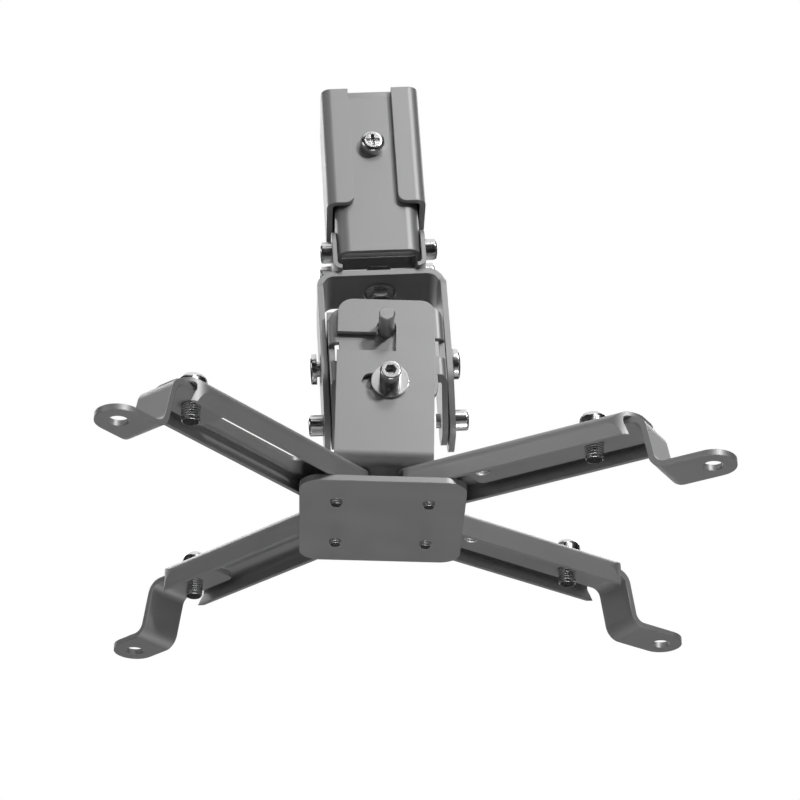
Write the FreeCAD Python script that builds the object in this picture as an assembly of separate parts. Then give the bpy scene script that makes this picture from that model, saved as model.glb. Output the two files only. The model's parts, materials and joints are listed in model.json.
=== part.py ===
import FreeCAD, Part
import math
import os

# Telescopic ceiling mount for a projector: the lower end of the column, a swivel yoke, a tilt
# block, a head bracket that hooks on a pin, and four slotted arms with sliding feet.
# Frame: origin at the middle of the column's top end, +Z up, +X to the viewer's right and +Y
# away from the viewer. Heights below are measured up from the underside of the clamp plate
# and are turned into the frame by COLUMN_TOP.

V = FreeCAD.Vector

# Column
COLUMN_TOP = 161.0
COLUMN_BOTTOM = 114.0
COLUMN_SIZE = 34.0
COLUMN_WALL = 2.0
COLUMN_BEND = 3.5
LIP_GAP = 15.2
LIP_CORNER = 3.0
INNER_SIZE = 28.6
INNER_WALL = 1.6
INNER_CORNER = 4.5
INNER_BOTTOM = 96.0
INNER_TOP = 159.0

# Height screw on the front of the inner column
HEIGHT_SCREW_Z = 138.5
HEIGHT_SCREW_R = 2.5
HEIGHT_HEAD_R = 4.2
HEIGHT_HEAD_H = 3.9
HEIGHT_NUT_FLAT = 8.0
HEIGHT_NUT_H = 4.0

# Knuckle under the inner column
SHEET_GAP = 0.1
KNUCKLE_T = 1.5
KNUCKLE_BEND = 3.0
KNUCKLE_DEPTH = 26.0
KNUCKLE_FLOOR_DEPTH = 15.0
KNUCKLE_NOTCH_SIDE = 1.6
KNUCKLE_EAR_TOP = 107.0
KNUCKLE_EAR_CORNER = 6.0
KNUCKLE_BOLT_Z = 99.5
KNUCKLE_BOLT_Y = 8.0
KNUCKLE_BOLT_R = 2.2
BARREL_HEAD_R = 3.7
BARREL_HEAD_L = 4.2
BARREL_HEAD_ROUND = 0.9
BARREL_RECESS = 1.2

# Swivel bolt and yoke
YOKE_WIDTH = 43.6
YOKE_T = 2.0
YOKE_TOP = 90.2
YOKE_BEND = 6.0
YOKE_TOP_DEPTH = 22.0
YOKE_CHEEK_DEPTH = 32.0
YOKE_CHEEK_TOP = 85.0
YOKE_CHEEK_ROUND = 7.0
YOKE_EAR_R = 9.0
SWIVEL_R = 3.0
SWIVEL_FLANGE_R = 5.6
SWIVEL_FLANGE_H = 1.0
SWIVEL_HEAD_FLAT = 8.0
SWIVEL_HEAD_H = 3.2
SWIVEL_NUT_FLAT = 10.0
SWIVEL_NUT_H = 3.4
RUN_GAP = 0.08

# Tilt block, its pivots and locking bolts
PIVOT_Z = 37.0
PIVOT_R = 2.5
PIVOT_HEAD_L = 5.0
LOCK_RADIUS = 21.5
LOCK_R = 2.7
LOCK_HEAD_R = 5.4
LOCK_HEAD_H = 2.3
LOCK_STAND = 1.3
LOCK_SWING = 15.0
SLOT_GAP = 0.3
BLOCK_GAP = 0.5
BLOCK_T = 2.0
BLOCK_BEND = 2.6
BLOCK_FRONT_Y = -21.7
BLOCK_BACK_Y = 8.0
BLOCK_TOP = 69.5
BLOCK_TOP_ROUND = 6.0
BLOCK_EAR_R = 8.0
BLOCK_FLANGE_LOW = 44.0
BLOCK_SKIRT = 6.6
RELIEF_LOW = 49.5
RELIEF_HIGH = 56.5
RELIEF_WIDTH = 3.4

# Head bracket with its hook notch and crosswise slot
ROLL_REST = 4.3
HEAD_T = 2.0
HEAD_GAP = 0.3
HEAD_WIDTH = 32.4
HEAD_TOP = 70.8
HEAD_CORNER = 5.0
HEAD_BEND = 4.0
BASE_WIDTH = 52.0
BASE_BACK_Y = 27.0
BASE_SHOULDER = 2.4
BASE_CORNER = 6.0
PIN_Z = 60.0
PIN_R = 2.65
PIN_OUT = 12.2
PIN_CHAMFER = 0.4
HOOK_HALF = 3.2
HOOK_LOW = 51.3
HOOK_HIGH = 58.2
HOOK_POCKET = 62.95
ROLL_SCREW_DROP = 20.4
ROLL_SCREW_R = 2.0
ROLL_HEAD_R = 3.5
ROLL_HEAD_H = 7.4
ROLL_SOCKET_FLAT = 3.4
ROLL_SOCKET_DEPTH = 2.6
ROLL_WASHER_R = 6.2
ROLL_WASHER_T = 1.0
ROLL_NUT_FLAT = 7.0
ROLL_NUT_H = 3.2
ROLL_SLOT_LENGTH = 15.6
ROLL_SLOT_WIDTH = 6.0

# Clamp plate and the screws that the arms turn on
CLAMP_WIDTH = 54.0
CLAMP_DEPTH = 60.0
CLAMP_T = 2.0
CLAMP_CORNER = 7.0
ARM_PIVOT = 15.0
CLAMP_SCREW_R = 2.0
CLAMP_SCREW_OUT = 1.5
CLAMP_HEAD_R = 3.6
CLAMP_HEAD_H = 2.4

# Arms
ARM_GAP = 0.1
ARM_WIDTH = 21.2
ARM_HEIGHT = 8.0
ARM_T = 1.4
ARM_BEND = 2.4
ARM_CREASE = 4.2
ARM_CREASE_LEAN = 15.0
ARM_CREASE_ROUND = 2.4
ARM_LENGTH = 76.0
ARM_TONGUE_OUT = 3.0
ARM_TONGUE_WIDTH = 17.6
ARM_FLANGE_START = -4.0
ARM_END_CUT = 2.0
ARM_END_LOW = 1.5
ARM_END_HIGH = 3.8
ARM_SLOT_START = 16.0
ARM_SLOT_END = 73.6
ARM_SLOT_WIDTH = 6.4

# Feet
STRAP_WIDTH = 14.7
STRAP_T = 2.0
STRAP_BEND = 4.5
STRAP_LEAN = 78.0
STRAP_DROP = 17.8
STRAP_END_ROUND = 2.0
FOOT_HOLE_R = 3.2
SHORT_REACH = 30.0
SHORT_TAIL = 12.0
SHORT_TAB = 8.5
LONG_REACH = 40.5
LONG_TAIL = 45.0
LONG_TAB = 13.0
SPARE_HOLE = 40.5
FOOT_BOLT_R = 3.0
FOOT_BOLT_OUT = 5.8
FOOT_BOLT_CHAMFER = 0.5
FOOT_HEAD_R = 4.8
FOOT_HEAD_H = 8.2
FOOT_HEAD_DOME = 3.0
THREAD_GAP = 0.05

# Each arm: name, side in X, side in Y, direction in degrees, bolt's place along it, long foot
ARMS = [
    ("front_left", -1, -1, -132.0, 68.0, False),
    ("front_right", 1, -1, -32.5, 60.2, True),
    ("rear_left", -1, 1, 134.4, 69.8, False),
    ("rear_right", 1, 1, 32.2, 59.4, True),
]

# Levels and faces that follow from the sizes above
ARM_BOTTOM = CLAMP_T + ARM_GAP
ARM_TOP = ARM_BOTTOM + ARM_HEIGHT
BASE_Z = ARM_TOP + ARM_GAP
WEB_UNDER = ARM_TOP - ARM_T
STRAP_TOP = WEB_UNDER - ARM_GAP
ARM_TONGUE = ARM_LENGTH + ARM_TONGUE_OUT
HEAD_BACK_Y = BLOCK_FRONT_Y - HEAD_GAP
HEAD_FRONT_Y = HEAD_BACK_Y - HEAD_T
INNER_FRONT_Y = -INNER_SIZE / 2
EAR_INNER_X = INNER_SIZE / 2 + SHEET_GAP
EAR_OUTER_X = EAR_INNER_X + KNUCKLE_T
YOKE_INNER_X = YOKE_WIDTH / 2 - YOKE_T
KNUCKLE_BOTTOM = YOKE_TOP + SHEET_GAP
KNUCKLE_FLOOR = KNUCKLE_BOTTOM + KNUCKLE_T
BLOCK_OUTER_X = YOKE_INNER_X - BLOCK_GAP
LOCK_Z = PIVOT_Z + LOCK_RADIUS
ROLL_SCREW_Z = PIN_Z - ROLL_SCREW_DROP


def box(x0, x1, y0, y1, z0, z1):
    """A block between two corners."""
    return Part.makeBox(x1 - x0, y1 - y0, z1 - z0, V(x0, y0, z0))


def rod(radius, start, end):
    """A round bar between two points."""
    way = end - start
    return Part.makeCylinder(radius, way.Length, start, way)


def hexagon(flat, start, end):
    """A hexagonal bar between two points, flats across as given."""
    way = end - start
    side = V(0, 0, 1).cross(way) if abs(way.z) < 0.5 * way.Length else V(1, 0, 0)
    side.normalize()
    other = way.cross(side)
    other.normalize()
    corner = flat / math.sqrt(3)
    points = []
    for i in range(7):
        angle = math.radians(60 * i)
        points.append(start + side * (corner * math.cos(angle)) + other * (corner * math.sin(angle)))
    return Part.Face(Part.makePolygon(points)).extrude(way)


def rounded_path(corners):
    """Closed wire through (point, radius) corners, with an arc of that radius at each."""
    count = len(corners)
    starts = []
    ends = []
    middles = []
    for i in range(count):
        point, radius = corners[i]
        before = (corners[i - 1][0] - point).normalize()
        after = (corners[(i + 1) % count][0] - point).normalize()
        if radius <= 0:
            starts.append(point)
            ends.append(point)
            middles.append(None)
            continue
        half = math.acos(max(-1.0, min(1.0, before.dot(after)))) / 2
        reach = radius / math.tan(half)
        bisector = (before + after).normalize()
        centre = point + bisector * (radius / math.sin(half))
        starts.append(point + before * reach)
        ends.append(point + after * reach)
        middles.append(centre - bisector * radius)
    edges = []
    for i in range(count):
        if middles[i] is not None:
            edges.append(Part.Arc(starts[i], middles[i], ends[i]).toShape())
        following = starts[(i + 1) % count]
        if (following - ends[i]).Length > 1e-6:
            edges.append(Part.LineSegment(ends[i], following).toShape())
    return Part.Wire(edges)


def prism(corners, way):
    """Solid of a rounded outline pushed along a vector."""
    return Part.Face(rounded_path(corners)).extrude(way)


def plate(x0, x1, y0, y1, z0, thickness, radius):
    """Flat rounded plate."""
    corners = [
        (V(x0, y0, z0), radius),
        (V(x1, y0, z0), radius),
        (V(x1, y1, z0), radius),
        (V(x0, y1, z0), radius),
    ]
    return prism(corners, V(0, 0, thickness))


def slot_solid(start, end, width, way):
    """Round-ended bar for cutting a slot: centres of its two ends, width and depth."""
    along = (end - start).normalize()
    side = along.cross(way).normalize() * (width / 2)
    first = Part.Arc(end + side, end + along * (width / 2), end - side).toShape()
    second = Part.Arc(start - side, start - along * (width / 2), start + side).toShape()
    edges = [
        Part.LineSegment(start + side, end + side).toShape(),
        first,
        Part.LineSegment(end - side, start - side).toShape(),
        second,
    ]
    return Part.Face(Part.Wire(edges)).extrude(way)


def fillet_rim(shape, radius, test):
    """Round the edges whose middle passes the test."""
    chosen = [edge for edge in shape.Edges if test(edge.CenterOfMass, edge)]
    return shape.makeFillet(radius, chosen)


def outer_column():
    """Folded channel with two lips turned in over the front."""
    half = COLUMN_SIZE / 2
    inner = half - COLUMN_WALL
    inner_bend = COLUMN_BEND - COLUMN_WALL
    gap = LIP_GAP / 2
    z = COLUMN_BOTTOM
    corners = [
        (V(-gap, -half, z), 0),
        (V(-half, -half, z), COLUMN_BEND),
        (V(-half, half, z), COLUMN_BEND),
        (V(half, half, z), COLUMN_BEND),
        (V(half, -half, z), COLUMN_BEND),
        (V(gap, -half, z), 0),
        (V(gap, -inner, z), 0),
        (V(inner, -inner, z), inner_bend),
        (V(inner, inner, z), inner_bend),
        (V(-inner, inner, z), inner_bend),
        (V(-inner, -inner, z), inner_bend),
        (V(-gap, -inner, z), 0),
    ]
    shape = prism(corners, V(0, 0, COLUMN_TOP - COLUMN_BOTTOM))

    def lip_corner(middle, edge):
        low = abs(middle.z - COLUMN_BOTTOM) < 0.01
        inside = abs(abs(middle.x) - gap) < 0.01
        return low and inside

    return fillet_rim(shape, LIP_CORNER, lip_corner)


def inner_column():
    """Rounded square tube with holes for the height screw and the two cross bolts."""
    half = INNER_SIZE / 2
    core = half - INNER_WALL
    length = INNER_TOP - INNER_BOTTOM
    shape = plate(-half, half, -half, half, INNER_BOTTOM, length, INNER_CORNER)
    core_corner = INNER_CORNER - INNER_WALL
    shape = shape.cut(plate(-core, core, -core, core, INNER_BOTTOM, length, core_corner))
    hole = rod(HEIGHT_SCREW_R + THREAD_GAP, V(0, -half - 1, HEIGHT_SCREW_Z), V(0, 0, HEIGHT_SCREW_Z))
    shape = shape.cut(hole)
    for y in (-KNUCKLE_BOLT_Y, KNUCKLE_BOLT_Y):
        cross = rod(KNUCKLE_BOLT_R + THREAD_GAP, V(-half - 1, y, KNUCKLE_BOLT_Z), V(half + 1, y, KNUCKLE_BOLT_Z))
        shape = shape.cut(cross)
    return shape


def height_screw():
    """Pan head screw with a cross recess, its head against the tube's front."""
    z = HEIGHT_SCREW_Z
    face = INNER_FRONT_Y
    head = rod(HEIGHT_HEAD_R, V(0, face, z), V(0, face - HEIGHT_HEAD_H, z))
    head = fillet_rim(head, 1.4, lambda m, e: abs(m.y - face + HEIGHT_HEAD_H) < 0.01)
    recess_y = face - HEIGHT_HEAD_H
    depth = 2.0
    blade = 0.55
    reach = 2.3
    head = head.cut(box(-reach, reach, recess_y - 1, recess_y + depth, z - blade, z + blade))
    head = head.cut(box(-blade, blade, recess_y - 1, recess_y + depth, z - reach, z + reach))
    shaft_end = face + INNER_WALL + HEIGHT_NUT_H + 1.5
    return head.fuse(rod(HEIGHT_SCREW_R, V(0, face, z), V(0, shaft_end, z))).removeSplitter()


def height_nut():
    """Nut against the inside of the tube's front."""
    z = HEIGHT_SCREW_Z
    near = INNER_FRONT_Y + INNER_WALL
    far = near + HEIGHT_NUT_H
    body = hexagon(HEIGHT_NUT_FLAT, V(0, near, z), V(0, far, z))
    return body.cut(rod(HEIGHT_SCREW_R + THREAD_GAP, V(0, near - 1, z), V(0, far + 1, z)))


def knuckle():
    """Bent bracket round the lower end of the tube, bolted through it twice."""
    low = KNUCKLE_BOTTOM
    depth = KNUCKLE_DEPTH / 2
    top = KNUCKLE_EAR_TOP
    inner_bend = KNUCKLE_BEND - KNUCKLE_T
    corners = [
        (V(-EAR_OUTER_X, -depth, low), KNUCKLE_BEND),
        (V(EAR_OUTER_X, -depth, low), KNUCKLE_BEND),
        (V(EAR_OUTER_X, -depth, top), 0),
        (V(EAR_INNER_X, -depth, top), 0),
        (V(EAR_INNER_X, -depth, KNUCKLE_FLOOR), inner_bend),
        (V(-EAR_INNER_X, -depth, KNUCKLE_FLOOR), inner_bend),
        (V(-EAR_INNER_X, -depth, top), 0),
        (V(-EAR_OUTER_X, -depth, top), 0),
    ]
    shape = prism(corners, V(0, KNUCKLE_DEPTH, 0))

    def ear_corner(middle, edge):
        return abs(middle.z - top) < 0.01 and abs(abs(middle.y) - depth) < 0.01

    shape = fillet_rim(shape, KNUCKLE_EAR_CORNER, ear_corner)
    notch = EAR_INNER_X - KNUCKLE_NOTCH_SIDE
    floor_edge = KNUCKLE_FLOOR_DEPTH / 2
    shape = shape.cut(box(-notch, notch, -depth - 1, -floor_edge, low - 1, KNUCKLE_FLOOR + 1))
    shape = shape.cut(box(-notch, notch, floor_edge, depth + 1, low - 1, KNUCKLE_FLOOR + 1))
    for y in (-KNUCKLE_BOLT_Y, KNUCKLE_BOLT_Y):
        wide = EAR_OUTER_X + 1
        shape = shape.cut(rod(KNUCKLE_BOLT_R + THREAD_GAP, V(-wide, y, KNUCKLE_BOLT_Z), V(wide, y, KNUCKLE_BOLT_Z)))
    return shape.cut(rod(SWIVEL_R + THREAD_GAP, V(0, 0, low - 1), V(0, 0, low + KNUCKLE_T + 1)))


def barrel_head(inner_x, side, y, z, length):
    """Round barrel head on one side, with a softened outer rim."""
    outer_x = inner_x + side * length
    head = rod(BARREL_HEAD_R, V(inner_x, y, z), V(outer_x, y, z))
    return fillet_rim(head, BARREL_HEAD_ROUND, lambda m, e: abs(m.x - outer_x) < 0.01)


def knuckle_bolt(y):
    """Cross bolt with its barrel head on the right."""
    head = barrel_head(EAR_OUTER_X, 1, y, KNUCKLE_BOLT_Z, BARREL_HEAD_L)
    tip = -EAR_OUTER_X - BARREL_HEAD_L + BARREL_RECESS
    shaft = rod(KNUCKLE_BOLT_R, V(tip, y, KNUCKLE_BOLT_Z), V(EAR_OUTER_X, y, KNUCKLE_BOLT_Z))
    return head.fuse(shaft).removeSplitter()


def knuckle_nut(y):
    """Closed barrel nut on the left."""
    head = barrel_head(-EAR_OUTER_X, -1, y, KNUCKLE_BOLT_Z, BARREL_HEAD_L)
    tip = -EAR_OUTER_X - BARREL_HEAD_L + BARREL_RECESS - SHEET_GAP
    bore = rod(KNUCKLE_BOLT_R + THREAD_GAP, V(tip, y, KNUCKLE_BOLT_Z), V(0, y, KNUCKLE_BOLT_Z))
    return head.cut(bore)


def swivel_bolt():
    """Flanged hex bolt that hangs under the yoke's top and carries it."""
    under = YOKE_TOP - YOKE_T - SHEET_GAP
    flange_low = under - SWIVEL_FLANGE_H
    head_low = flange_low - SWIVEL_HEAD_H
    flange = rod(SWIVEL_FLANGE_R, V(0, 0, flange_low), V(0, 0, under))
    head = hexagon(SWIVEL_HEAD_FLAT, V(0, 0, head_low), V(0, 0, flange_low))
    crown = Part.makeCone(SWIVEL_HEAD_FLAT / 2, SWIVEL_HEAD_FLAT / 2 + SWIVEL_HEAD_H, SWIVEL_HEAD_H,
                          V(0, 0, head_low))
    head = head.common(crown)
    top = KNUCKLE_FLOOR + SWIVEL_NUT_H
    shaft = rod(SWIVEL_R, V(0, 0, flange_low), V(0, 0, top))
    return flange.fuse([head, shaft]).removeSplitter()


def swivel_nut():
    """Nut on the knuckle's floor, inside the tube's end."""
    top = KNUCKLE_FLOOR + SWIVEL_NUT_H
    body = hexagon(SWIVEL_NUT_FLAT, V(0, 0, KNUCKLE_FLOOR), V(0, 0, top))
    return body.cut(rod(SWIVEL_R + THREAD_GAP, V(0, 0, KNUCKLE_FLOOR - 1), V(0, 0, top + 1)))


def cheek_outline(x):
    """Side outline of the yoke: narrow top, deep cheeks, round ears at the pivot."""
    back = YOKE_CHEEK_DEPTH / 2
    neck = YOKE_TOP_DEPTH / 2
    top = YOKE_TOP + 1
    ear_low = PIVOT_Z - YOKE_EAR_R
    waist = PIVOT_Z + YOKE_EAR_R
    return [
        (V(x, -neck, top), 0),
        (V(x, -neck, YOKE_CHEEK_TOP), 2.0),
        (V(x, -back, YOKE_CHEEK_TOP - 2.0), YOKE_CHEEK_ROUND * 0.6),
        (V(x, -back, waist), 12.0),
        (V(x, -YOKE_EAR_R, ear_low), YOKE_EAR_R * 0.8),
        (V(x, YOKE_EAR_R, ear_low), YOKE_EAR_R * 0.8),
        (V(x, back, waist), 12.0),
        (V(x, back, YOKE_CHEEK_TOP - 2.0), YOKE_CHEEK_ROUND * 0.6),
        (V(x, neck, YOKE_CHEEK_TOP), 2.0),
        (V(x, neck, top), 0),
    ]


def arc_slot(x0, x1):
    """Curved slot round the pivot, for the locking bolts."""
    half = LOCK_R + SLOT_GAP
    inner = LOCK_RADIUS - half
    outer = LOCK_RADIUS + half

    def at(radius, degrees):
        angle = math.radians(degrees)
        return V(x0, radius * math.sin(angle), PIVOT_Z + radius * math.cos(angle))

    swing = LOCK_SWING
    first = at(LOCK_RADIUS, -swing)
    last = at(LOCK_RADIUS, swing)
    along_first = (at(LOCK_RADIUS, -swing) - at(LOCK_RADIUS, -swing + 90)).normalize()
    along_last = (at(LOCK_RADIUS, swing) - at(LOCK_RADIUS, swing - 90)).normalize()
    tangent_first = V(0, -math.cos(math.radians(swing)), -math.sin(math.radians(swing)))
    tangent_last = V(0, math.cos(math.radians(swing)), -math.sin(math.radians(swing)))
    edges = [
        Part.Arc(at(outer, -swing), at(outer, 0), at(outer, swing)).toShape(),
        Part.Arc(at(outer, swing), last + tangent_last * half, at(inner, swing)).toShape(),
        Part.Arc(at(inner, swing), at(inner, 0), at(inner, -swing)).toShape(),
        Part.Arc(at(inner, -swing), first + tangent_first * half, at(outer, -swing)).toShape(),
    ]
    return Part.Face(Part.Wire(edges)).extrude(V(x1 - x0, 0, 0))


def swivel_yoke():
    """Inverted U of bent plate: a narrow top and two deep cheeks."""
    half = YOKE_WIDTH / 2
    low = PIVOT_Z - YOKE_EAR_R
    deep = YOKE_CHEEK_DEPTH / 2 + 1
    inner_bend = YOKE_BEND - YOKE_T
    corners = [
        (V(-half, -deep, low), 0),
        (V(-half, -deep, YOKE_TOP), YOKE_BEND),
        (V(half, -deep, YOKE_TOP), YOKE_BEND),
        (V(half, -deep, low), 0),
        (V(YOKE_INNER_X, -deep, low), 0),
        (V(YOKE_INNER_X, -deep, YOKE_TOP - YOKE_T), inner_bend),
        (V(-YOKE_INNER_X, -deep, YOKE_TOP - YOKE_T), inner_bend),
        (V(-YOKE_INNER_X, -deep, low), 0),
    ]
    shape = prism(corners, V(0, 2 * deep, 0))
    outline = prism(cheek_outline(-half - 1), V(YOKE_WIDTH + 2, 0, 0))
    shape = shape.common(outline)
    shape = shape.cut(rod(SWIVEL_R + RUN_GAP, V(0, 0, YOKE_TOP - YOKE_T - 1), V(0, 0, YOKE_TOP + 1)))
    for side in (-1, 1):
        hole = rod(PIVOT_R + RUN_GAP, V(side * (half + 1), 0, PIVOT_Z), V(side * (YOKE_INNER_X - 1), 0, PIVOT_Z))
        shape = shape.cut(hole)
    shape = shape.cut(arc_slot(-half - 1, -YOKE_INNER_X + 1))
    shape = shape.cut(arc_slot(YOKE_INNER_X - 1, half + 1))
    return shape


def tilt_block():
    """Bent block between the cheeks: a front plate and two side flanges."""
    outer = BLOCK_OUTER_X
    inner = outer - BLOCK_T
    inner_bend = BLOCK_BEND - BLOCK_T
    low = PIVOT_Z - BLOCK_EAR_R
    front = BLOCK_FRONT_Y
    corners = [
        (V(-outer, front, low), BLOCK_BEND),
        (V(outer, front, low), BLOCK_BEND),
        (V(outer, BLOCK_BACK_Y, low), 0),
        (V(inner, BLOCK_BACK_Y, low), 0),
        (V(inner, front + BLOCK_T, low), inner_bend),
        (V(-inner, front + BLOCK_T, low), inner_bend),
        (V(-inner, BLOCK_BACK_Y, low), 0),
        (V(-outer, BLOCK_BACK_Y, low), 0),
    ]
    shape = prism(corners, V(0, 0, BLOCK_TOP - low))
    side_view = [
        (V(-outer - 1, front - 1, BLOCK_FLANGE_LOW), 0),
        (V(-outer - 1, -BLOCK_EAR_R, low), BLOCK_EAR_R * 0.9),
        (V(-outer - 1, BLOCK_BACK_Y, low), BLOCK_EAR_R * 0.9),
        (V(-outer - 1, BLOCK_BACK_Y, BLOCK_TOP), BLOCK_TOP_ROUND * 1.5),
        (V(-outer - 1, front - 1, BLOCK_TOP), 0),
    ]
    shape = shape.common(prism(side_view, V(2 * outer + 2, 0, 0)))
    front_view = [
        (V(-outer, front - 1, low), 0),
        (V(outer, front - 1, low), 0),
        (V(outer, front - 1, BLOCK_TOP), BLOCK_TOP_ROUND),
        (V(-outer, front - 1, BLOCK_TOP), BLOCK_TOP_ROUND),
    ]
    nose = prism(front_view, V(0, BLOCK_BEND + 1, 0))
    rear = box(-outer, outer, front + BLOCK_BEND, BLOCK_BACK_Y, low, BLOCK_TOP)
    shape = shape.common(nose.fuse(rear))
    skirt_half = inner + BLOCK_T - RELIEF_WIDTH
    skirt_low = ROLL_SCREW_Z - BLOCK_SKIRT
    skirt = [
        (V(-skirt_half, front, skirt_low), BLOCK_TOP_ROUND),
        (V(skirt_half, front, skirt_low), BLOCK_TOP_ROUND),
        (V(skirt_half, front, RELIEF_HIGH), 0),
        (V(-skirt_half, front, RELIEF_HIGH), 0),
    ]
    shape = shape.fuse(prism(skirt, V(0, BLOCK_T, 0))).removeSplitter()
    for side in (-1, 1):
        edge = side * (inner - RELIEF_WIDTH + BLOCK_T)
        far = side * (outer + 1)
        relief = box(min(edge, far), max(edge, far), front - 1, front + BLOCK_BEND, RELIEF_LOW, RELIEF_HIGH)
        shape = shape.cut(relief)
        for z, radius in ((PIVOT_Z, PIVOT_R), (LOCK_Z, LOCK_R)):
            hole = rod(radius + THREAD_GAP, V(side * (outer + 1), 0, z), V(side * (inner - 1), 0, z))
            shape = shape.cut(hole)
    for z, radius in ((PIN_Z, PIN_R), (ROLL_SCREW_Z, ROLL_SCREW_R)):
        shape = shape.cut(rod(radius + THREAD_GAP, V(0, front - 1, z), V(0, front + BLOCK_T + 1, z)))
    return shape


def tilt_pivot(side):
    """Pivot with a barrel head outside the cheek, fixed in the block's flange."""
    base = side * (YOKE_WIDTH / 2 + SHEET_GAP)
    head = barrel_head(base, side, 0, PIVOT_Z, PIVOT_HEAD_L)
    tip = side * (BLOCK_OUTER_X - BLOCK_T - 1.5)
    return head.fuse(rod(PIVOT_R, V(base, 0, PIVOT_Z), V(tip, 0, PIVOT_Z))).removeSplitter()


def tilt_lock(side):
    """Locking bolt with a thin disc head that stands a little off the cheek."""
    cheek = side * YOKE_WIDTH / 2
    near = cheek + side * LOCK_STAND
    far = near + side * LOCK_HEAD_H
    head = rod(LOCK_HEAD_R, V(near, 0, LOCK_Z), V(far, 0, LOCK_Z))
    head = fillet_rim(head, 0.9, lambda m, e: abs(m.x - far) < 0.01)
    tip = side * (BLOCK_OUTER_X - BLOCK_T - 2.0)
    return head.fuse(rod(LOCK_R, V(near, 0, LOCK_Z), V(tip, 0, LOCK_Z))).removeSplitter()


def roll_pin():
    """Plain pin pressed into the block's front plate."""
    back = BLOCK_FRONT_Y + BLOCK_T
    tip = BLOCK_FRONT_Y - PIN_OUT
    pin = rod(PIN_R, V(0, back, PIN_Z), V(0, tip, PIN_Z))
    rim = [edge for edge in pin.Edges if abs(edge.CenterOfMass.y - tip) < 0.01]
    return pin.makeChamfer(PIN_CHAMFER, rim)


def roll_screw():
    """Socket head screw through washer, slot and block."""
    z = ROLL_SCREW_Z
    seat = HEAD_FRONT_Y - SHEET_GAP - ROLL_WASHER_T
    top = seat - ROLL_HEAD_H
    head = rod(ROLL_HEAD_R, V(0, seat, z), V(0, top, z))
    head = fillet_rim(head, 0.6, lambda m, e: abs(m.y - top) < 0.01)
    head = head.cut(hexagon(ROLL_SOCKET_FLAT, V(0, top - 0.5, z), V(0, top + ROLL_SOCKET_DEPTH, z)))
    tip = BLOCK_FRONT_Y + BLOCK_T + ROLL_NUT_H + 1.0
    return head.fuse(rod(ROLL_SCREW_R, V(0, seat, z), V(0, tip, z))).removeSplitter()


def roll_washer():
    """Wide washer over the crosswise slot."""
    z = ROLL_SCREW_Z
    near = HEAD_FRONT_Y - SHEET_GAP
    ring = rod(ROLL_WASHER_R, V(0, near, z), V(0, near - ROLL_WASHER_T, z))
    return ring.cut(rod(ROLL_SCREW_R + THREAD_GAP, V(0, near + 1, z), V(0, near - ROLL_WASHER_T - 1, z)))


def roll_nut():
    """Nut behind the block's front plate."""
    z = ROLL_SCREW_Z
    near = BLOCK_FRONT_Y + BLOCK_T
    far = near + ROLL_NUT_H
    body = hexagon(ROLL_NUT_FLAT, V(0, near, z), V(0, far, z))
    return body.cut(rod(ROLL_SCREW_R + THREAD_GAP, V(0, near - 1, z), V(0, far + 1, z)))


def head_bracket():
    """Front plate with hook notch and slot, bent at the foot into the base plate."""
    half = HEAD_WIDTH / 2
    front = HEAD_FRONT_Y
    base_top = BASE_Z + HEAD_T
    bend_end = HEAD_BACK_Y + BASE_SHOULDER
    profile = [
        (V(-half, front, HEAD_TOP), 0),
        (V(-half, front, BASE_Z), HEAD_BEND),
        (V(-half, bend_end + 1, BASE_Z), 0),
        (V(-half, bend_end + 1, base_top), 0),
        (V(-half, HEAD_BACK_Y, base_top), HEAD_BEND - HEAD_T),
        (V(-half, HEAD_BACK_Y, HEAD_TOP), 0),
    ]
    shape = prism(profile, V(HEAD_WIDTH, 0, 0))

    def top_corner(middle, edge):
        return abs(middle.z - HEAD_TOP) < 0.01 and abs(abs(middle.x) - half) < 0.01

    shape = fillet_rim(shape, HEAD_CORNER, top_corner)
    wide = BASE_WIDTH / 2
    base = plate(-wide, wide, bend_end, BASE_BACK_Y, BASE_Z, HEAD_T, BASE_CORNER)
    shape = shape.fuse(base).removeSplitter()
    channel = box(-half - 1, HOOK_HALF, front - 1, HEAD_BACK_Y + 1, HOOK_LOW, HOOK_HIGH)
    pocket = [
        (V(-HOOK_HALF, front - 1, HOOK_LOW), 0),
        (V(HOOK_HALF, front - 1, HOOK_LOW), 0),
        (V(HOOK_HALF, front - 1, HOOK_POCKET), HOOK_HALF * 0.8),
        (V(-HOOK_HALF, front - 1, HOOK_POCKET), HOOK_HALF * 0.8),
    ]
    shape = shape.cut(channel).cut(prism(pocket, V(0, HEAD_T + 2, 0)))
    reach = (ROLL_SLOT_LENGTH - ROLL_SLOT_WIDTH) / 2
    slot = slot_solid(V(-reach, front - 1, ROLL_SCREW_Z), V(reach, front - 1, ROLL_SCREW_Z),
                      ROLL_SLOT_WIDTH, V(0, HEAD_T + 2, 0))
    shape = shape.cut(slot)
    for name, sx, sy, degrees, place, is_long in ARMS:
        x = sx * ARM_PIVOT
        y = sy * ARM_PIVOT
        shape = shape.cut(rod(CLAMP_SCREW_R + THREAD_GAP, V(x, y, BASE_Z - 1), V(x, y, base_top + 1)))
    return shape


def clamp_plate():
    """Plate that clamps the arms from below, tapped for their four screws."""
    x = CLAMP_WIDTH / 2
    y = CLAMP_DEPTH / 2
    shape = plate(-x, x, -y, y, 0, CLAMP_T, CLAMP_CORNER)
    for name, sx, sy, degrees, place, is_long in ARMS:
        start = V(sx * ARM_PIVOT, sy * ARM_PIVOT, -1)
        end = V(sx * ARM_PIVOT, sy * ARM_PIVOT, CLAMP_T + 1)
        shape = shape.cut(rod(CLAMP_SCREW_R + THREAD_GAP, start, end))
    return shape


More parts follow.
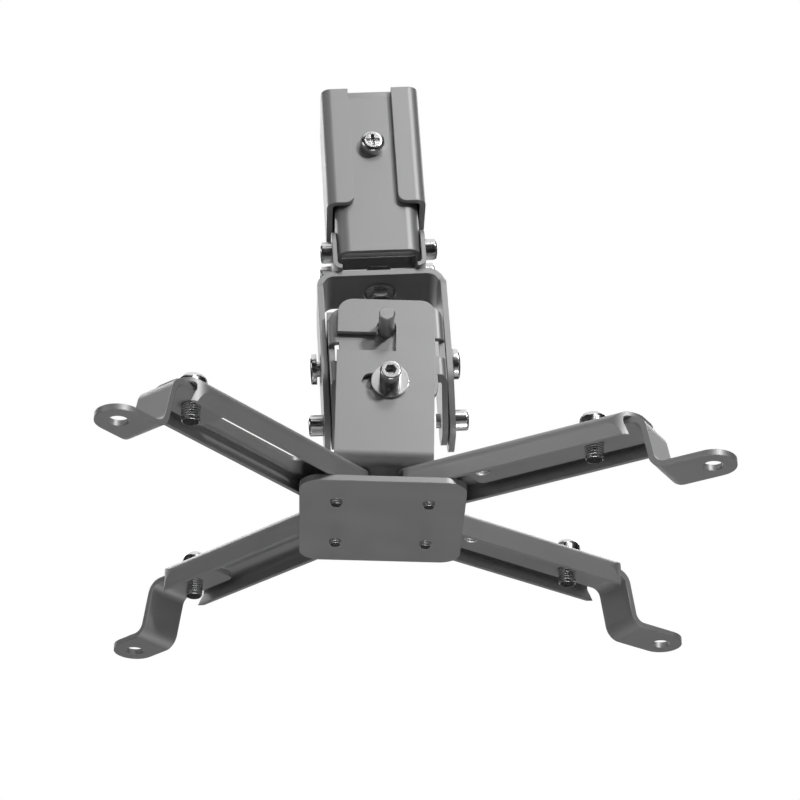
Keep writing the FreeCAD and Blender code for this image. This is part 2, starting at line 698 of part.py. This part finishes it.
def clamp_screw(sx, sy):
    """Pan head screw that an arm turns on; its tip shows under the clamp plate."""
    x = sx * ARM_PIVOT
    y = sy * ARM_PIVOT
    seat = BASE_Z + HEAD_T
    top = seat + CLAMP_HEAD_H
    head = rod(CLAMP_HEAD_R, V(x, y, seat), V(x, y, top))
    head = fillet_rim(head, 1.2, lambda m, e: abs(m.z - top) < 0.01)
    shaft = rod(CLAMP_SCREW_R, V(x, y, -CLAMP_SCREW_OUT), V(x, y, seat))
    return head.fuse(shaft).removeSplitter()


def arm_local():
    """Channel with its open side down, pivot at the local origin, running along +X.

    A crease runs along each flange, and the flange below it leans inward.
    """
    half = ARM_WIDTH / 2
    inner = half - ARM_T
    inner_bend = ARM_BEND - ARM_T
    inner_crease = ARM_CREASE_ROUND + ARM_T
    turn_in = ARM_CREASE * math.tan(math.radians(ARM_CREASE_LEAN))
    crease = ARM_BOTTOM + ARM_CREASE
    start = -half
    corners = [
        (V(start, -half + turn_in, ARM_BOTTOM), 0),
        (V(start, -half, crease), inner_crease),
        (V(start, -half, ARM_TOP), ARM_BEND),
        (V(start, half, ARM_TOP), ARM_BEND),
        (V(start, half, crease), inner_crease),
        (V(start, half - turn_in, ARM_BOTTOM), 0),
        (V(start, inner - turn_in, ARM_BOTTOM), 0),
        (V(start, inner, crease), ARM_CREASE_ROUND),
        (V(start, inner, WEB_UNDER), inner_bend),
        (V(start, -inner, WEB_UNDER), inner_bend),
        (V(start, -inner, crease), ARM_CREASE_ROUND),
        (V(start, -inner + turn_in, ARM_BOTTOM), 0),
    ]
    shape = prism(corners, V(ARM_TONGUE + half, 0, 0))
    plan = [
        (V(start, -half, 0), half * 0.98),
        (V(ARM_TONGUE, -half, 0), half * 0.8),
        (V(ARM_TONGUE, half, 0), half * 0.8),
        (V(start, half, 0), half * 0.98),
    ]
    shape = shape.common(prism(plan, V(0, 0, ARM_TOP)))
    for side in (-1, 1):
        outside = side * (half + 1)
        for near, far, lean in (
            (start - 1, ARM_FLANGE_START, -ARM_END_CUT),
            (ARM_TONGUE + 1, ARM_LENGTH, ARM_END_CUT),
        ):
            cut = [
                (V(near, outside, ARM_BOTTOM - 1), 0),
                (V(far + lean, outside, ARM_BOTTOM - 1), 0),
                (V(far + lean, outside, ARM_BOTTOM + ARM_END_LOW), 0.8),
                (V(far, outside, ARM_BOTTOM + ARM_END_HIGH), 1.0),
                (V(far, outside, WEB_UNDER), 0),
                (V(near, outside, WEB_UNDER), 0),
            ]
            shape = shape.cut(prism(cut, V(0, -side * (ARM_T + turn_in + 2), 0)))
    tongue = ARM_TONGUE_WIDTH / 2
    for side in (-1, 1):
        y0 = min(side * tongue, side * (half + 1))
        y1 = max(side * tongue, side * (half + 1))
        shape = shape.cut(box(ARM_LENGTH, ARM_TONGUE + 1, y0, y1, WEB_UNDER - 1, ARM_TOP + 1))
    first = V(ARM_SLOT_START + ARM_SLOT_WIDTH / 2, 0, WEB_UNDER - 1)
    last = V(ARM_SLOT_END - ARM_SLOT_WIDTH / 2, 0, WEB_UNDER - 1)
    shape = shape.cut(slot_solid(first, last, ARM_SLOT_WIDTH, V(0, 0, ARM_T + 2)))
    return shape.cut(rod(CLAMP_SCREW_R + RUN_GAP, V(0, 0, WEB_UNDER - 1), V(0, 0, ARM_TOP + 1)))


def strap_run(reach, tab):
    """Centre line corners of a strap, from its inner end to the end of its tab."""
    lean = math.radians(STRAP_LEAN)
    level = STRAP_TOP - STRAP_T / 2
    corner = STRAP_BEND * math.tan(lean / 2)
    sideways = STRAP_DROP / math.tan(lean)
    flat_start = reach - tab
    lower_corner = flat_start - corner
    upper_corner = lower_corner - sideways
    return upper_corner, lower_corner, level


def foot_local(reach, tail, tab, spare):
    """Offset strap, its bolt hole at the local origin and its foot hole at the reach."""
    upper, lower, level = strap_run(reach, tab)
    half_t = STRAP_T / 2
    half_w = STRAP_WIDTH / 2
    end = reach + half_w
    lean = math.radians(STRAP_LEAN)
    shift = half_t * math.tan(lean / 2)
    top = level + half_t
    under = level - half_t
    tab_top = top - STRAP_DROP
    tab_under = under - STRAP_DROP
    small = STRAP_BEND - half_t
    large = STRAP_BEND + half_t
    y = -half_w
    profile = [
        (V(-tail, y, top), 0),
        (V(upper + shift, y, top), large),
        (V(lower + shift, y, tab_top), small),
        (V(end, y, tab_top), 0),
        (V(end, y, tab_under), 0),
        (V(lower - shift, y, tab_under), large),
        (V(upper - shift, y, under), small),
        (V(-tail, y, under), 0),
    ]
    shape = prism(profile, V(0, STRAP_WIDTH, 0))
    plan = [
        (V(-tail, -half_w, tab_under - 1), STRAP_END_ROUND),
        (V(end, -half_w, tab_under - 1), half_w * 0.99),
        (V(end, half_w, tab_under - 1), half_w * 0.99),
        (V(-tail, half_w, tab_under - 1), STRAP_END_ROUND),
    ]
    shape = shape.common(prism(plan, V(0, 0, STRAP_DROP + STRAP_T + 2)))
    shape = shape.cut(rod(FOOT_BOLT_R + THREAD_GAP, V(0, 0, under - 1), V(0, 0, top + 1)))
    shape = shape.cut(rod(FOOT_HOLE_R, V(reach, 0, tab_under - 1), V(reach, 0, tab_top + 1)))
    if spare:
        shape = shape.cut(rod(FOOT_BOLT_R - 0.4, V(-SPARE_HOLE, 0, under - 1), V(-SPARE_HOLE, 0, top + 1)))
    return shape


def foot_bolt_local():
    """Domed bolt through the arm's slot into the strap."""
    seat = ARM_TOP + ARM_GAP
    top = seat + FOOT_HEAD_H
    head = rod(FOOT_HEAD_R, V(0, 0, seat), V(0, 0, top))
    head = fillet_rim(head, FOOT_HEAD_DOME, lambda m, e: abs(m.z - top) < 0.01)
    tip = STRAP_TOP - STRAP_T - FOOT_BOLT_OUT
    shaft = rod(FOOT_BOLT_R, V(0, 0, tip), V(0, 0, seat))
    end_rim = [edge for edge in shaft.Edges if abs(edge.CenterOfMass.z - tip) < 0.01]
    shaft = shaft.makeChamfer(FOOT_BOLT_CHAMFER, end_rim)
    return head.fuse(shaft).removeSplitter()


def on_arm(shape, sx, sy, degrees, along):
    """Place a local shape on its arm: along it, turned, and at the arm's pivot."""
    placed = shape.copy()
    placed.translate(V(along, 0, 0))
    placed.rotate(V(0, 0, 0), V(0, 0, 1), degrees)
    placed.translate(V(sx * ARM_PIVOT, sy * ARM_PIVOT, 0))
    return placed


def rolled(shape):
    """Turn a head piece about the pin to where it rests."""
    placed = shape.copy()
    placed.rotate(V(0, 0, PIN_Z), V(0, 1, 0), ROLL_REST)
    return placed


def export(name, shape):
    """Write one piece, moved down so that the column's top is the origin."""
    placed = shape.copy()
    placed.translate(V(0, 0, -COLUMN_TOP))
    if not placed.isValid():
        print("not valid:", name)
    placed.exportStep("parts/" + name + ".step")


def column_parts():
    """Pieces that stay upright with the column."""
    return {
        "outer_column": outer_column(),
        "inner_column": inner_column(),
        "height_screw": height_screw(),
        "height_nut": height_nut(),
        "knuckle": knuckle(),
        "knuckle_bolt_front": knuckle_bolt(-KNUCKLE_BOLT_Y),
        "knuckle_bolt_rear": knuckle_bolt(KNUCKLE_BOLT_Y),
        "knuckle_nut_front": knuckle_nut(-KNUCKLE_BOLT_Y),
        "knuckle_nut_rear": knuckle_nut(KNUCKLE_BOLT_Y),
        "swivel_bolt": swivel_bolt(),
        "swivel_nut": swivel_nut(),
        "swivel_yoke": swivel_yoke(),
        "tilt_block": tilt_block(),
        "tilt_pivot_left": tilt_pivot(-1),
        "tilt_pivot_right": tilt_pivot(1),
        "tilt_lock_left": tilt_lock(-1),
        "tilt_lock_right": tilt_lock(1),
        "roll_pin": roll_pin(),
        "roll_screw": roll_screw(),
        "roll_washer": roll_washer(),
        "roll_nut": roll_nut(),
    }


def head_parts():
    """Pieces that roll with the head bracket."""
    parts = {"head_bracket": head_bracket(), "clamp_plate": clamp_plate()}
    arm = arm_local()
    bolt = foot_bolt_local()
    short_foot = foot_local(SHORT_REACH, SHORT_TAIL, SHORT_TAB, False)
    long_foot = foot_local(LONG_REACH, LONG_TAIL, LONG_TAB, True)
    for name, sx, sy, degrees, place, is_long in ARMS:
        strap = long_foot if is_long else short_foot
        parts["clamp_screw_" + name] = clamp_screw(sx, sy)
        parts["arm_" + name] = on_arm(arm, sx, sy, degrees, 0)
        parts["foot_" + name] = on_arm(strap, sx, sy, degrees, place)
        parts["foot_bolt_" + name] = on_arm(bolt, sx, sy, degrees, place)
    return parts


def main():
    os.makedirs("parts", exist_ok=True)
    for name, shape in column_parts().items():
        export(name, shape)
    for name, shape in head_parts().items():
        export(name, rolled(shape))


main()
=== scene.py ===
import json
import math

import bmesh
import bpy
from mathutils import Euler, Matrix, Vector

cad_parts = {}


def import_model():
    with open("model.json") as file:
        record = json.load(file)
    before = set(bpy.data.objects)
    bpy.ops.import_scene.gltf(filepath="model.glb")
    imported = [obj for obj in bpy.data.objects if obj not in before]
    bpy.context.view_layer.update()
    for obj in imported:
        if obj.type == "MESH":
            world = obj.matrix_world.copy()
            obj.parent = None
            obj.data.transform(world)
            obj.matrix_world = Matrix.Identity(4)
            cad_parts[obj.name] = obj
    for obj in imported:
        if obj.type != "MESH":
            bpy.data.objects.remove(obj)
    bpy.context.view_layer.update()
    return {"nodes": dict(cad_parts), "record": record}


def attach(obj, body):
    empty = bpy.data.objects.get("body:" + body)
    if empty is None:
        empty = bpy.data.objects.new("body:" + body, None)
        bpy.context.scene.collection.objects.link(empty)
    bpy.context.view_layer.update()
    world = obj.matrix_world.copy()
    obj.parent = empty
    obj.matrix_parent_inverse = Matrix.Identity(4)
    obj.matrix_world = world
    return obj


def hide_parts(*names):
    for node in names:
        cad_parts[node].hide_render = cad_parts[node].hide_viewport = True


# A ceiling mount for a projector, seen from below and in front, in metres.
# The solids keep their shapes. This script gives them their finish, and makes the threaded
# fasteners anew, because their threads are too fine for the solids.

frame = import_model()

MM = 0.001

# Camera: where it stands, how it is turned, and its focal length
CAMERA_PLACE = Vector((-0.04883, -0.82226, -0.55611))
CAMERA_TURN = (118.193, 3.485, -1.838)
CAMERA_LENS = 124.92
SENSOR_WIDTH = 36.0

# Height of the mount's middle, which the lamps and cards face
MIDDLE_HEIGHT = -0.09

# Materials of a threaded piece after its first: a light copy of the plating as painted highlight on the ridges'
# crests, and a dark copy as painted shade in the grooves between them
PAINTED_HIGHLIGHT = 1
PAINTED_SHADE = 2

# The head hangs rolled by this angle about the pin
HEAD_ROLL = 4.3
PIN_HEIGHT = -101.0 * MM
PIVOT_REACH = 15.0 * MM

# Heights above the clamp plate's underside, in the head's own frame
PLATE_UNDER = -161.0 * MM
WEB_UNDER = 8.7 * MM
WEB_TOP = 10.1 * MM
STRAP_UNDER = 6.6 * MM

# Inner column: half its width, its wall, its corner radius, and its solid's top end
TUBE_HALF = 14.3 * MM
TUBE_WALL = 1.6 * MM
TUBE_CORNER = 4.5 * MM
TUBE_TOP = -2.0 * MM

# Arms: name, side in X, side in Y, direction in degrees, bolt's place along the arm, spare hole
ARMS = [
    ("front_left", -1, -1, -132.0, 68.0 * MM, False),
    ("front_right", 1, -1, -32.5, 60.2 * MM, True),
    ("rear_left", -1, 1, 134.4, 69.8 * MM, False),
    ("rear_right", 1, 1, 32.2, 59.4 * MM, True),
]


def new_object(name, bm):
    """Object from a finished bmesh."""
    mesh = bpy.data.meshes.new(name)
    bm.to_mesh(mesh)
    bm.free()
    made = bpy.data.objects.new(name, mesh)
    bpy.context.scene.collection.objects.link(made)
    return made


def shade(obj, degrees):
    """Smooth shading, with edges sharper than the angle kept."""
    for polygon in obj.data.polygons:
        polygon.use_smooth = True
    obj.data.set_sharp_from_angle(angle=math.radians(degrees))


def node_tree(name):
    """New material with its nodes, output and shader."""
    material = bpy.data.materials.new(name)
    material.use_nodes = True
    tree = material.node_tree
    shader = tree.nodes["Principled BSDF"]
    return material, tree, shader


def noise(tree, scale, detail, roughness):
    """Noise over the object's own coordinates."""
    place = tree.nodes.new("ShaderNodeTexCoord")
    texture = tree.nodes.new("ShaderNodeTexNoise")
    texture.inputs["Scale"].default_value = scale
    texture.inputs["Detail"].default_value = detail
    texture.inputs["Roughness"].default_value = roughness
    tree.links.new(place.outputs["Object"], texture.inputs["Vector"])
    return texture


def spread(tree, source, low, high):
    """Map a 0 to 1 value to a range."""
    mapped = tree.nodes.new("ShaderNodeMapRange")
    mapped.inputs["From Min"].default_value = 0.3
    mapped.inputs["From Max"].default_value = 0.7
    mapped.inputs["To Min"].default_value = low
    mapped.inputs["To Max"].default_value = high
    tree.links.new(source, mapped.inputs["Value"])
    return mapped.outputs["Result"]


def grain(tree, shader, texture, strength, depth, edge):
    """Fine surface relief over softly rounded sheet edges."""
    rounded = tree.nodes.new("ShaderNodeBevel")
    rounded.samples = 6
    rounded.inputs["Radius"].default_value = edge
    bump = tree.nodes.new("ShaderNodeBump")
    bump.inputs["Strength"].default_value = strength
    bump.inputs["Distance"].default_value = depth
    tree.links.new(rounded.outputs["Normal"], bump.inputs["Normal"])
    tree.links.new(texture.outputs["Fac"], bump.inputs["Height"])
    tree.links.new(bump.outputs["Normal"], shader.inputs["Normal"])


def powder_coat():
    """Satin silver-grey coat with a fine orange peel and faint tone changes."""
    material, tree, shader = node_tree("powder_coat")
    shader.inputs["Metallic"].default_value = 0.6
    peel = noise(tree, 1400.0, 3.0, 0.5)
    cloud = noise(tree, 60.0, 4.0, 0.6)
    tone = tree.nodes.new("ShaderNodeMix")
    tone.data_type = "RGBA"
    tone.inputs["A"].default_value = (0.43, 0.43, 0.432, 1.0)
    tone.inputs["B"].default_value = (0.475, 0.475, 0.477, 1.0)
    tree.links.new(cloud.outputs["Fac"], tone.inputs["Factor"])
    tree.links.new(tone.outputs["Result"], shader.inputs["Base Color"])
    tree.links.new(spread(tree, cloud.outputs["Fac"], 0.46, 0.52), shader.inputs["Roughness"])
    grain(tree, shader, peel, 0.12, 0.00005, 0.3 * MM)
    return material


def zinc():
    """Bright plated steel with faint turning marks in its gloss."""
    material, tree, shader = node_tree("bright_zinc")
    shader.inputs["Metallic"].default_value = 1.0
    smear = noise(tree, 300.0, 5.0, 0.6)
    tone = tree.nodes.new("ShaderNodeMix")
    tone.data_type = "RGBA"
    tone.inputs["A"].default_value = (0.66, 0.66, 0.67, 1.0)
    tone.inputs["B"].default_value = (0.80, 0.80, 0.80, 1.0)
    tree.links.new(smear.outputs["Fac"], tone.inputs["Factor"])
    tree.links.new(tone.outputs["Result"], shader.inputs["Base Color"])
    tree.links.new(spread(tree, smear.outputs["Fac"], 0.16, 0.27), shader.inputs["Roughness"])
    grain(tree, shader, smear, 0.05, 0.00004, 0.25 * MM)
    return material


def thread_metal(name, metallic, low, high):
    """The same plating, duller and without softened edges, so that fine ridges stay sharp. Its tone range is
    given: for the threads, a light copy is painted highlight on the crests and a dark copy is painted shade in the
    grooves.
    """
    material, tree, shader = node_tree(name)
    shader.inputs["Metallic"].default_value = metallic
    smear = noise(tree, 500.0, 4.0, 0.6)
    tone = tree.nodes.new("ShaderNodeMix")
    tone.data_type = "RGBA"
    tone.inputs["A"].default_value = (low, low, low, 1.0)
    tone.inputs["B"].default_value = (high, high, high, 1.0)
    tree.links.new(smear.outputs["Fac"], tone.inputs["Factor"])
    tree.links.new(tone.outputs["Result"], shader.inputs["Base Color"])
    tree.links.new(spread(tree, smear.outputs["Fac"], 0.30, 0.40), shader.inputs["Roughness"])
    return material


def pale_floor():
    """Matt floor, pale to the camera without lighting the mount from below."""
    material, tree, shader = node_tree("pale_floor")
    cloud = noise(tree, 3.0, 3.0, 0.5)
    tone = tree.nodes.new("ShaderNodeMix")
    tone.data_type = "RGBA"
    tone.inputs["A"].default_value = (0.80, 0.80, 0.80, 1.0)
    tone.inputs["B"].default_value = (0.84, 0.84, 0.84, 1.0)
    tree.links.new(cloud.outputs["Fac"], tone.inputs["Factor"])
    tree.links.new(tone.outputs["Result"], shader.inputs["Base Color"])
    shader.inputs["Roughness"].default_value = 0.85
    shader.inputs["Emission Color"].default_value = (1.0, 1.0, 1.0, 1.0)
    ray = tree.nodes.new("ShaderNodeLightPath")
    glow = tree.nodes.new("ShaderNodeMath")
    glow.operation = "MULTIPLY"
    glow.inputs[1].default_value = 0.62
    tree.links.new(ray.outputs["Is Camera Ray"], glow.inputs[0])
    tree.links.new(glow.outputs[0], shader.inputs["Emission Strength"])
    return material


def paint(obj, material):
    """One material over the whole object."""
    obj.data.materials.clear()
    obj.data.materials.append(material)


def head_matrix():
    """From the head's own frame, heights from the clamp plate, to where the head hangs."""
    turn = Matrix.Rotation(math.radians(HEAD_ROLL), 4, "Y")
    pin = Matrix.Translation((0, 0, PIN_HEIGHT))
    return pin @ turn @ Matrix.Translation((0, 0, PLATE_UNDER - PIN_HEIGHT))


def on_head(obj, x, y):
    """Move a piece made at the head's origin to a point of its plan."""
    obj.data.transform(head_matrix() @ Matrix.Translation((x, y, 0)))


def thread_turn(bm, radius, core, pitch, low, high, steps, taper):
    """Ridge of a screw thread from low to high, with painted highlight on its crest and painted shade on its
    flanks, set by the faces' material indexes.
    """
    turns = (high - low) / pitch
    count = int(turns * steps)
    rows = []
    profile = ((0.0, core), (0.20, radius), (0.58, radius), (0.84, core))
    for i in range(count + 1):
        angle = 2 * math.pi * i / steps
        base = low + (high - low - pitch) * i / count
        row = []
        for share, reach in profile:
            z = base + share * pitch
            limit = radius - max(0.0, low + taper - z) * 0.9
            r = min(reach, max(limit, core * 0.8))
            row.append(bm.verts.new((r * math.cos(angle), r * math.sin(angle), z)))
        rows.append(row)
    for first, second in zip(rows, rows[1:]):
        for k in range(len(profile) - 1):
            face = bm.faces.new((first[k], second[k], second[k + 1], first[k + 1]))
            face.material_index = PAINTED_HIGHLIGHT if k == 1 else PAINTED_SHADE


def lathe(bm, profile, steps, index=0):
    """Turned form through (radius, height) points about the Z axis, in one of its materials."""
    rings = []
    for radius, z in profile:
        if radius < 1e-7:
            rings.append([bm.verts.new((0, 0, z))])
            continue
        ring = []
        for i in range(steps):
            angle = 2 * math.pi * i / steps
            ring.append(bm.verts.new((radius * math.cos(angle), radius * math.sin(angle), z)))
        rings.append(ring)
    for low, high in zip(rings, rings[1:]):
        for i in range(steps):
            j = (i + 1) % steps
            if len(low) == 1:
                face = bm.faces.new((low[0], high[j], high[i]))
            elif len(high) == 1:
                face = bm.faces.new((low[i], low[j], high[0]))
            else:
                face = bm.faces.new((low[i], low[j], high[j], high[i]))
            face.material_index = index


def arc_points(centre_r, centre_z, radius, start, end, count):
    """Points of an arc for a turned profile, angles in degrees."""
    points = []
    for i in range(count + 1):
        angle = math.radians(start + (end - start) * i / count)
        points.append((centre_r + radius * math.cos(angle), centre_z + radius * math.sin(angle)))
    return points


def camera():
    """The photograph's viewpoint."""
    data = bpy.data.cameras.new("camera")
    data.sensor_width = SENSOR_WIDTH
    data.lens = CAMERA_LENS
    data.clip_start = 0.01
    data.clip_end = 50.0
    made = bpy.data.objects.new("camera", data)
    made.location = CAMERA_PLACE
    made.rotation_euler = Euler([math.radians(a) for a in CAMERA_TURN], "XYZ")
    bpy.context.scene.collection.objects.link(made)
    bpy.context.scene.camera = made


def face_mount(obj, direction, distance):
    """Set a lamp or card around the mount and turn it to it: degrees right of front, degrees up."""
    side, rise = (math.radians(a) for a in direction)
    way = Vector((math.sin(side) * math.cos(rise), -math.cos(side) * math.cos(rise), math.sin(rise)))
    obj.location = Vector((0, 0, MIDDLE_HEIGHT)) + way * distance
    obj.rotation_euler = (-way).to_track_quat("-Z", "Y").to_euler()


def area_light(name, direction, distance, width, height, power):
    """Soft rectangular lamp."""
    data = bpy.data.lights.new(name, "AREA")
    data.shape = "RECTANGLE"
    data.size = width
    data.size_y = height
    data.energy = power
    made = bpy.data.objects.new(name, data)
    face_mount(made, direction, distance)
    bpy.context.scene.collection.objects.link(made)


def world():
    """White to the camera and in mirrors, and a low even fill for the rest."""
    made = bpy.data.worlds.new("studio")
    bpy.context.scene.world = made
    made.use_nodes = True
    tree = made.node_tree
    tree.nodes.clear()
    out = tree.nodes.new("ShaderNodeOutputWorld")
    fill = tree.nodes.new("ShaderNodeBackground")
    fill.inputs["Color"].default_value = (1, 1, 1, 1)
    fill.inputs["Strength"].default_value = 0.015
    white = tree.nodes.new("ShaderNodeBackground")
    white.inputs["Color"].default_value = (1, 1, 1, 1)
    white.inputs["Strength"].default_value = 1.0
    ray = tree.nodes.new("ShaderNodeLightPath")
    first = tree.nodes.new("ShaderNodeMath")
    first.operation = "MAXIMUM"
    second = tree.nodes.new("ShaderNodeMath")
    second.operation = "MAXIMUM"
    mix = tree.nodes.new("ShaderNodeMixShader")
    tree.links.new(ray.outputs["Is Camera Ray"], first.inputs[0])
    tree.links.new(ray.outputs["Is Glossy Ray"], first.inputs[1])
    tree.links.new(first.outputs[0], second.inputs[0])
    tree.links.new(ray.outputs["Is Transmission Ray"], second.inputs[1])
    tree.links.new(second.outputs[0], mix.inputs["Fac"])
    tree.links.new(fill.outputs[0], mix.inputs[1])
    tree.links.new(white.outputs[0], mix.inputs[2])
    tree.links.new(mix.outputs[0], out.inputs["Surface"])


def floor():
    """Pale floor, as far below the mount as a room's is below its ceiling."""
    bm = bmesh.new()
    half = 14.0
    corners = [bm.verts.new((x, y, -2.4)) for x, y in ((-half, -half), (half, -half), (half, half), (-half, half))]
    bm.faces.new(corners)
    made = new_object("floor", bm)
    paint(made, pale_floor())


def flag(name, direction, distance, width, height):
    """Black studio card that the gloss of the metal sees and the camera doesn't."""
    bm = bmesh.new()
    corners = []
    for x, y in ((-1, -1), (1, -1), (1, 1), (-1, 1)):
        corners.append(bm.verts.new((x * width / 2, y * height / 2, 0)))
    bm.faces.new(corners)
    made = new_object(name, bm)
    face_mount(made, direction, distance)
    material, tree, shader = node_tree(name)
    shader.inputs["Base Color"].default_value = (0.015, 0.015, 0.015, 1.0)
    shader.inputs["Roughness"].default_value = 0.9
    paint(made, material)
    made.visible_camera = False
    made.visible_shadow = False


def threaded_end(bm, radius, core, pitch, tip, high, steps):
    """Flat chamfered tip and the ridges above it."""
    chamfer = 0.25 * pitch
    # The tip's flat takes the light copy as painted highlight, and the core between the ridges takes the dark copy
    # as painted shade
    lathe(bm, [(0, tip), (radius * 0.84, tip), (radius * 0.92, tip + chamfer)], steps, PAINTED_HIGHLIGHT)
    lathe(bm, [(radius * 0.92, tip + chamfer), (core, tip + 2 * chamfer), (core, high)], steps, PAINTED_SHADE)
    thread_turn(bm, radius, core * 0.99, pitch, tip + chamfer, high, steps, chamfer)


def foot_bolt(name, x, y, slot, metal, thread):
    """Domed bolt whose M6 thread shows below the strap."""
    radius = 3.0 * MM
    core = 2.35 * MM
    pitch = 1.0 * MM
    tip = STRAP_UNDER - 5.8 * MM
    seat = WEB_TOP + 0.1 * MM
    head_radius = 4.8 * MM
    head_height = 7.0 * MM
    dome = 3.0 * MM
    bm = bmesh.new()
    threaded_end(bm, radius, core, pitch, tip, STRAP_UNDER + 0.9 * MM, 48)
    lathe(bm, [(radius, STRAP_UNDER + 0.4 * MM), (radius, seat)], 48)
    top = [(head_radius * 0.8, seat), (head_radius, seat + 0.3 * MM)]
    top += arc_points(head_radius - dome, seat + head_height - dome, dome, 0, 90, 12)
    top += [(0, seat + head_height)]
    lathe(bm, [(radius * 0.9, seat)] + top, 64)
    made = new_object(name + "_threaded", bm)
    on_head(made, x, y)
    shade(made, 32)
    paint(made, metal)
    for material in thread:
        made.data.materials.append(material)
    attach(made, slot)
    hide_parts(name)


def clamp_screw(name, x, y, metal, thread):
    """Pan head screw with an M4 thread at the tip that shows under the clamp plate."""
    radius = 2.0 * MM
    core = 1.5 * MM
    pitch = 0.7 * MM
    tip = -1.5 * MM
    seat = 12.2 * MM
    head_radius = 3.6 * MM
    head_height = 2.4 * MM
    rim = 1.2 * MM
    bm = bmesh.new()
    threaded_end(bm, radius, core, pitch, tip, 2.6 * MM, 40)
    lathe(bm, [(radius, 2.0 * MM), (radius, seat)], 40)
    top = [(head_radius, seat)]
    top += arc_points(head_radius - rim, seat + head_height - rim, rim, 0, 90, 8)
    top += [(0, seat + head_height)]
    lathe(bm, [(radius * 0.9, seat)] + top, 48)
    made = new_object(name + "_threaded", bm)
    on_head(made, x, y)
    shade(made, 32)
    paint(made, metal)
    for material in thread:
        made.data.materials.append(material)
    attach(made, "head")
    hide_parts(name)


def spare_thread(name, x, y, metal):
    """Thread ridges inside a long foot's spare hole."""
    radius = 2.6 * MM
    pitch = 0.7 * MM
    bm = bmesh.new()
    low = STRAP_UNDER + 0.02 * MM
    high = STRAP_UNDER + 1.98 * MM
    steps = 40
    turns = (high - low) / pitch - 1
    count = int(turns * steps)
    rows = []
    for i in range(count + 1):
        angle = 2 * math.pi * i / steps
        base = low + (high - low - pitch) * i / count
        row = []
        for share, depth in ((0.0, 0.0), (0.4, 0.38), (0.5, 0.38), (0.9, 0.0)):
            r = radius + 0.02 * MM - depth * MM
            z = base + share * pitch
            row.append(bm.verts.new((r * math.cos(angle), r * math.sin(angle), z)))
        rows.append(row)
    for first, second in zip(rows, rows[1:]):
        for k in range(3):
            bm.faces.new((first[k], first[k + 1], second[k + 1], second[k]))
    made = new_object(name + "_spare_thread", bm)
    on_head(made, x, y)
    shade(made, 40)
    paint(made, metal)
    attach(made, name)


def rounded_square(bm, half, corner, z):
    """Ring of points around a square with rounded corners."""
    ring = []
    inset = half - corner
    for start, x, y in ((0, inset, inset), (90, -inset, inset), (180, -inset, -inset), (270, inset, -inset)):
        for reach_x, reach_y in arc_points(x, y, corner, start, start + 90, 8):
            ring.append(bm.verts.new((reach_x, reach_y, z)))
    return ring


def inner_column_top(coat):
    """The inner column's last stretch, up to where the photograph cuts both columns."""
    end = -0.02 * MM
    bm = bmesh.new()
    inner_corner = TUBE_CORNER - TUBE_WALL
    rings = [rounded_square(bm, TUBE_HALF, TUBE_CORNER, TUBE_TOP), rounded_square(bm, TUBE_HALF, TUBE_CORNER, end),
             rounded_square(bm, TUBE_HALF - TUBE_WALL, inner_corner, end),
             rounded_square(bm, TUBE_HALF - TUBE_WALL, inner_corner, TUBE_TOP)]
    for low, high in zip(rings, rings[1:]):
        for i in range(len(low)):
            j = (i + 1) % len(low)
            bm.faces.new((low[i], low[j], high[j], high[i]))
    made = new_object("inner_column_top", bm)
    shade(made, 30)
    paint(made, coat)
    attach(made, "inner")


def main():
    scene = bpy.context.scene
    scene.view_settings.view_transform = "Standard"
    camera()
    world()
    floor()
    area_light("key", (28, 20), 1.5, 0.16, 0.16, 8.2)
    area_light("high_front", (15, 38), 1.5, 0.3, 0.3, 2.2)
    area_light("left_soft", (-62, 10), 1.3, 0.5, 0.5, 1.7)
    area_light("under", (0, -88), 1.0, 0.5, 0.5, 3.6)
    area_light("front_card", (3, 28), 1.5, 0.25, 0.25, 0.17)
    area_light("back", (180, 34), 1.6, 1.2, 1.0, 3.0)
    area_light("back_right", (140, 40), 1.4, 0.5, 0.6, 3.0)
    area_light("back_left", (-140, 40), 1.4, 0.5, 0.6, 3.5)
    flag("flag_front", (0, 20), 1.9, 3.0, 2.2)
    flag("flag_front_left", (-62, 25), 1.75, 1.5, 2.0)
    flag("flag_front_right", (62, 25), 1.75, 1.5, 2.0)
    flag("flag_left", (-103, 15), 1.6, 1.5, 1.8)
    flag("flag_right", (103, 15), 1.6, 1.5, 1.8)
    flag("flag_low", (0, -45), 1.4, 2.4, 1.4)
    flag("flag_under", (180, -40), 1.3, 2.6, 1.4)
    coat = powder_coat()
    metal = zinc()
    # Thread plating in two tones: a light copy as painted highlight on the crests, and a dark copy as painted
    # shade in the grooves
    thread = (thread_metal("thread_painted_highlight", 0.3, 0.74, 0.86), thread_metal("thread_painted_shade", 0.7, 0.10, 0.16))
    satin = thread_metal("satin_pin", 0.6, 0.44, 0.52)
    inner_column_top(coat)
    slots = {row["node"]: row["material_slot"] for row in frame["record"]["subparts"]}
    for name, node in frame["nodes"].items():
        paint(node, coat if slots[name] == "powder_coat" else metal)
    paint(frame["nodes"]["roll_pin"], satin)
    for name, sx, sy, degrees, along, spare in ARMS:
        angle = math.radians(degrees)
        x = sx * PIVOT_REACH + math.cos(angle) * along
        y = sy * PIVOT_REACH + math.sin(angle) * along
        foot_bolt("foot_bolt_" + name, x, y, "foot_" + name, metal, thread)
        clamp_screw("clamp_screw_" + name, sx * PIVOT_REACH, sy * PIVOT_REACH, metal, thread)
        if spare:
            back = along - 40.5 * MM
            x = sx * PIVOT_REACH + math.cos(angle) * back
            y = sy * PIVOT_REACH + math.sin(angle) * back
            # The spare hole's ridges take the light copy of the thread plating, a painted highlight
            spare_thread("foot_" + name, x, y, thread[0])


main()
